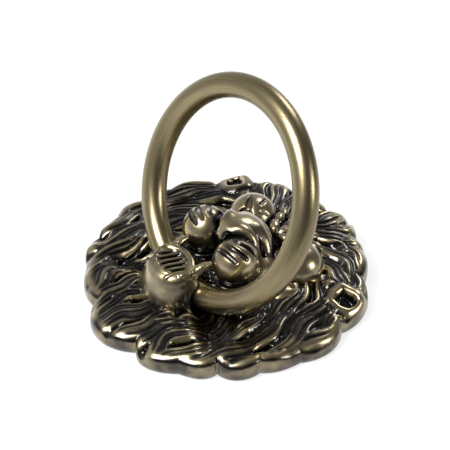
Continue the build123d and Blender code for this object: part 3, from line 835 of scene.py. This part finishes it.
def finish_metal(tree, colour, roughness, height, strength, depth, **lacquer):
    """Join a metal's colour, roughness, bumps and lacquer to its output."""
    bump = add_node(tree, "ShaderNodeBump", Strength=strength, Distance=depth,
                    links={"Height": height.outputs["Fac"]})
    shader = add_node(tree, "ShaderNodeBsdfPrincipled", Metallic=1.0, **lacquer,
                      links={"Base Color": colour.outputs["Color"], "Roughness": roughness,
                             "Normal": bump.outputs[0]})
    add_node(tree, "ShaderNodeOutputMaterial", links={"Surface": shader.outputs[0]})


def antique_casting():
    """Antique brass plate on a zinc casting, under a thin gloss lacquer.

    It is near black where the patina is left in the recesses and pale brass, with tight bright
    highlights from the lacquer, where the high parts are relieved.
    """
    material, tree = new_material("antique_brass_casting")
    place = add_node(tree, "ShaderNodeTexCoord")
    # the stored rub carries patina and, in places, painted shade: in the nostrils, mouth and eyes, under
    # the muzzle pads, low on the chin and under the mane's rolled rim
    rub_and_shade = add_node(tree, "ShaderNodeAttribute", attribute_name="rub_and_shade")
    # cloudy relieving by hand, in patches of about 8 mm
    patch = 25 / 3 * MM
    clouds = add_node(tree, "ShaderNodeTexNoise", Scale=1 / patch, Detail=3.0,
                      links={"Vector": place.outputs["Object"]})
    shift = add_node(tree, "ShaderNodeMath", operation="MULTIPLY_ADD",
                     links={0: clouds.outputs["Fac"], 1: 0.8, 2: -0.42})
    worn = add_node(tree, "ShaderNodeMath", operation="ADD", use_clamp=True,
                    links={0: rub_and_shade.outputs["Fac"], 1: shift.outputs[0]})
    ramp = add_node(tree, "ShaderNodeValToRGB", links={"Fac": worn.outputs[0]},
                    stops=((0.0, "#0C0C0B"), (0.42, "#1C1A18"), (0.60, "#464037"),
                           (0.78, "#8C8066"), (1.0, "#BBAE8A")))
    rough = add_node(tree, "ShaderNodeMapRange", To_Min=0.40, To_Max=0.28,
                     links={"Value": worn.outputs[0]})
    # cast skin under the plate, grains of about 1 mm
    grain = 10 / 9 * MM
    skin = add_node(tree, "ShaderNodeTexNoise", Scale=1 / grain, Detail=2.0,
                    links={"Vector": place.outputs["Object"]})
    finish_metal(tree, ramp, rough.outputs[0], skin, 0.12, 0.2 * MM,
                 Coat_Weight=1.0, Coat_Roughness=0.08)
    return material


def brushed_ring_brass():
    """Antique brass plate brushed lengthwise, under satin lacquer.

    Fine streaks run along the bar, and the highlights on it are long and a little soft.
    """
    material, tree = new_material("brushed_antique_brass")
    along = add_node(tree, "ShaderNodeAttribute", attribute_name="along")
    across = add_node(tree, "ShaderNodeAttribute", attribute_name="across")
    turn = []
    # both ways round are carried as a circle, so that no seam shows, and the circles' sizes give
    # streaks 17 mm long and 0.37 mm wide: the real ones are finer and wouldn't show
    for source, size in ((along, RING_RADIUS / STREAK_LENGTH), (across, BAR_RADIUS / STREAK_WIDTH)):
        angle = add_node(tree, "ShaderNodeMath", operation="MULTIPLY",
                         links={0: source.outputs["Fac"], 1: 2 * pi})
        for wave in ("SINE", "COSINE"):
            value = add_node(tree, "ShaderNodeMath", operation=wave, links={0: angle.outputs[0]})
            turn.append(add_node(tree, "ShaderNodeMath", operation="MULTIPLY",
                                 links={0: value.outputs[0], 1: size}))
    place = add_node(tree, "ShaderNodeCombineXYZ",
                     links={"X": turn[0].outputs[0], "Y": turn[2].outputs[0], "Z": turn[3].outputs[0]})
    streaks = add_node(tree, "ShaderNodeTexNoise", noise_dimensions="4D", Scale=1.0, Detail=4.0,
                       links={"Vector": place.outputs[0], "W": turn[1].outputs[0]})
    ramp = add_node(tree, "ShaderNodeValToRGB", links={"Fac": streaks.outputs["Fac"]},
                    stops=((0.3, "#80755A"), (0.5, "#918565"), (0.72, "#A09370")))
    rough = add_node(tree, "ShaderNodeMapRange", To_Min=0.34, To_Max=0.28,
                     links={"Value": streaks.outputs["Fac"]})
    finish_metal(tree, ramp, rough.outputs[0], streaks, 0.03, 0.1 * MM,
                 Coat_Weight=0.3, Coat_Roughness=0.2)
    return material


def turned_metal(name, low, high, roughness):
    """Small turned parts: clean bare metal with faint turning marks, less than 1 mm apart."""
    material, tree = new_material(name)
    mark = 2 / 3 * MM
    place = add_node(tree, "ShaderNodeTexCoord")
    marks = add_node(tree, "ShaderNodeTexNoise", Scale=1 / mark, Detail=2.0,
                     links={"Vector": place.outputs["Object"]})
    ramp = add_node(tree, "ShaderNodeValToRGB", links={"Fac": marks.outputs["Fac"]},
                    stops=((0.35, low), (0.65, high)))
    finish_metal(tree, ramp, roughness, marks, 0.1, 0.1 * MM)
    return material


# ---- the object ----
casting = antique_casting()
ring_brass = brushed_ring_brass()
# zinc-plated steel is a cool pale grey, and turned brass a fresh yellow
steel = turned_metal("zinc_plated_steel", "#A9ABAD", "#C6C8CA", 0.28)
brass = turned_metal("turned_brass", "#A98D4C", "#C9AE6A", 0.25)

mane = make_mane()

FACE_CELL = 0.42
face, face_verts = surface("face", face_form, (-36, -13, 1), (36, 46, 36), FACE_CELL)
rub_and_shade = 0.06 + 0.82 * openness(face_form, face_verts)
# painted shade: the nostrils, the mouth and the eyes are darkened towards black, and the muzzle pads'
# lower halves by the mouth's corners get a painted dark reflection
for spot, radius in (((7.2, 2.0, 26.6), 4.6), ((0, -8, 16), 7.0), ((13.6, 17.8, 15.5), 4.0),
                     ((12.5, -8.5, 12.5), 7.0)):
    gap = np.linalg.norm(np.abs(face_verts * (1, 0, 0)) + face_verts * (0, 1, 1) - spot, axis=1)
    rub_and_shade -= 0.5 * np.exp(-((gap / radius) ** 2) * 1.6)
behind = np.abs(head_hollow(list(face_verts.T), LINING)) < 0.3
paint(face, np.where(behind, BACK_RUB, rub_and_shade))

tongue, _ = surface("tongue", tongue_form, (-14.4, -14.4, 1), (14.4, -1, 14), 0.4)
paint(tongue, 0.34)

chin, chin_verts = surface("chin", jaw_form, (-18, -40.5, 4), (18, -7.5, 24), FACE_CELL * 0.8)
# painted shade: the chin is darkened towards its foot
foot_shade = np.clip((15 - chin_verts[:, 2]) / 9, 0, 1)
paint(chin, 0.08 + 0.84 * openness(jaw_form, chin_verts) - 0.16 * foot_shade)

back, _ = surface("back", back_form, (-62.3, -63.7, -0.9), (62.3, 62.3, 13), 0.7)
paint(back, BACK_RUB)

for piece, node in ((mane, "mask"), (face, "mask"), (tongue, "mask"), (back, "mask"),
                    (chin, "lower_jaw")):
    piece.data.materials.append(casting)
    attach(piece, "plate")
    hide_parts(node)

ring = make_ring(ring_brass)
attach(ring, "knocker_ring")
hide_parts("ring")

for node, material in (("jaw_screws", steel), ("jaw_lock_washers", steel), ("threaded_inserts", brass)):
    item = bpy.data.objects[node]
    item.data.materials.clear()
    item.data.materials.append(material)


# ---- studio ----
BRIGHT_SIDE = (-0.9, -0.44, 0.0)  # towards the lion's right, a little before the chin
WHITE = (1, 1, 1, 1)


def pale_floor():
    """A floor that the camera sees white and the metal sees dimmer, away from the bright side."""
    half = 3.0
    mesh = bpy.data.meshes.new("floor")
    mesh.from_pydata([(-half, -half, 0), (half, -half, 0), (half, half, 0), (-half, half, 0)], [],
                     [(0, 1, 2, 3)])
    floor = placed("floor", mesh)
    floor.location.z = -0.1 * MM
    material, tree = new_material("pale_floor")
    rays = add_node(tree, "ShaderNodeLightPath")
    seen = add_node(tree, "ShaderNodeMath", operation="MAXIMUM",
                    links={0: rays.outputs["Is Camera Ray"], 1: rays.outputs["Is Glossy Ray"]})
    seen = add_node(tree, "ShaderNodeMath", operation="MAXIMUM",
                    links={0: seen.outputs[0], 1: rays.outputs["Is Transmission Ray"]})
    share = add_node(tree, "ShaderNodeMath", operation="MULTIPLY", links={0: seen.outputs[0], 1: 0.72})
    matte = add_node(tree, "ShaderNodeBsdfDiffuse", Color=hexcol("#F4F4F4"))
    spot = add_node(tree, "ShaderNodeTexCoord")
    toward = add_node(tree, "ShaderNodeVectorMath", operation="DOT_PRODUCT",
                      links={0: spot.outputs["Object"], 1: BRIGHT_SIDE})
    dim = add_node(tree, "ShaderNodeMapRange", From_Min=-0.15, From_Max=0.1, To_Min=0.45, To_Max=0.95,
                   links={"Value": toward.outputs["Value"]})
    level = add_node(tree, "ShaderNodeMath", operation="MAXIMUM",
                     links={0: rays.outputs["Is Camera Ray"], 1: dim.outputs[0]})
    white = add_node(tree, "ShaderNodeEmission", Color=WHITE, links={"Strength": level.outputs[0]})
    both = add_node(tree, "ShaderNodeMixShader",
                    links={0: share.outputs[0], 1: matte.outputs[0], 2: white.outputs[0]})
    add_node(tree, "ShaderNodeOutputMaterial", links={"Surface": both.outputs[0]})
    mesh.materials.append(material)


def room():
    """White behind the object; the metal sees it dim, lighter low down and on the bright side."""
    world = bpy.data.worlds.new("studio")
    bpy.context.scene.world = world
    world.use_nodes = True
    tree = world.node_tree
    tree.nodes.clear()
    rays = add_node(tree, "ShaderNodeLightPath")
    place = add_node(tree, "ShaderNodeTexCoord")
    split = add_node(tree, "ShaderNodeSeparateXYZ", links={0: place.outputs["Generated"]})
    height = add_node(tree, "ShaderNodeValToRGB", links={"Fac": split.outputs["Z"]})
    for k, (at, level) in enumerate(((0.0, 0.62), (0.26, 0.54), (0.55, 0.40), (1.0, 0.26))):
        stop = height.color_ramp.elements[k] if k < 2 else height.color_ramp.elements.new(at)
        stop.position, stop.color = at, (level, level, level, 1)
    toward = add_node(tree, "ShaderNodeVectorMath", operation="DOT_PRODUCT",
                      links={0: place.outputs["Generated"], 1: BRIGHT_SIDE})
    gain = add_node(tree, "ShaderNodeMapRange", From_Min=-0.7, From_Max=0.7, To_Min=0.14, To_Max=0.95,
                    links={"Value": toward.outputs["Value"]})
    seen = add_node(tree, "ShaderNodeBackground",
                    links={"Color": height.outputs["Color"], "Strength": gain.outputs[0]})
    lit = add_node(tree, "ShaderNodeBackground", Color=WHITE, Strength=0.6)
    behind = add_node(tree, "ShaderNodeBackground", Color=WHITE, Strength=1.0)
    mix = add_node(tree, "ShaderNodeMixShader",
                   links={0: rays.outputs["Is Glossy Ray"], 1: lit.outputs[0], 2: seen.outputs[0]})
    mix = add_node(tree, "ShaderNodeMixShader",
                   links={0: rays.outputs["Is Camera Ray"], 1: mix.outputs[0], 2: behind.outputs[0]})
    add_node(tree, "ShaderNodeOutputWorld", links={"Surface": mix.outputs[0]})


def direction(azimuth, elevation):
    """A direction from the object: degrees round from the chin and up from the floor."""
    a, e = radians(azimuth), radians(elevation)
    return Vector((sin(a) * cos(e), -cos(a) * cos(e), sin(e)))


def lamps():
    """Three soft lamps: degrees round and up, then metres off, wide and tall, and watts."""
    for name, azimuth, elevation, distance, wide, tall, watts in (
        ("key", 6, 58, 0.8, 0.32, 0.36, 8.0),
        ("side", 128, 25, 0.9, 0.22, 0.24, 2.2),
        ("back", 208, 38, 0.9, 0.30, 0.30, 2.0),
    ):
        lamp = bpy.data.lights.new(name, "AREA")
        lamp.shape, lamp.size, lamp.size_y, lamp.energy = "RECTANGLE", wide, tall, watts
        lamp.color = (1.0, 0.975, 0.94)
        obj = placed(name, lamp)
        obj.location = distance * direction(azimuth, elevation)
        obj.rotation_euler = (-obj.location).to_track_quat("-Z", "Y").to_euler()


def camera():
    """A long lens, well above the floor, looking from the lion's left across the chin."""
    distance, target = 0.8, Vector((-0.031, 0.0186, 0))
    away = direction(60, 39.5)
    lens = bpy.data.cameras.new("camera")
    lens.sensor_width, lens.lens = 36.0, 147.8
    obj = placed("camera", lens)
    obj.location = target + away * distance
    obj.rotation_euler = (-away).to_track_quat("-Z", "Y").to_euler()
    bpy.context.scene.camera = obj


bpy.context.scene.view_settings.view_transform = "Standard"
pale_floor()
room()
lamps()
camera()
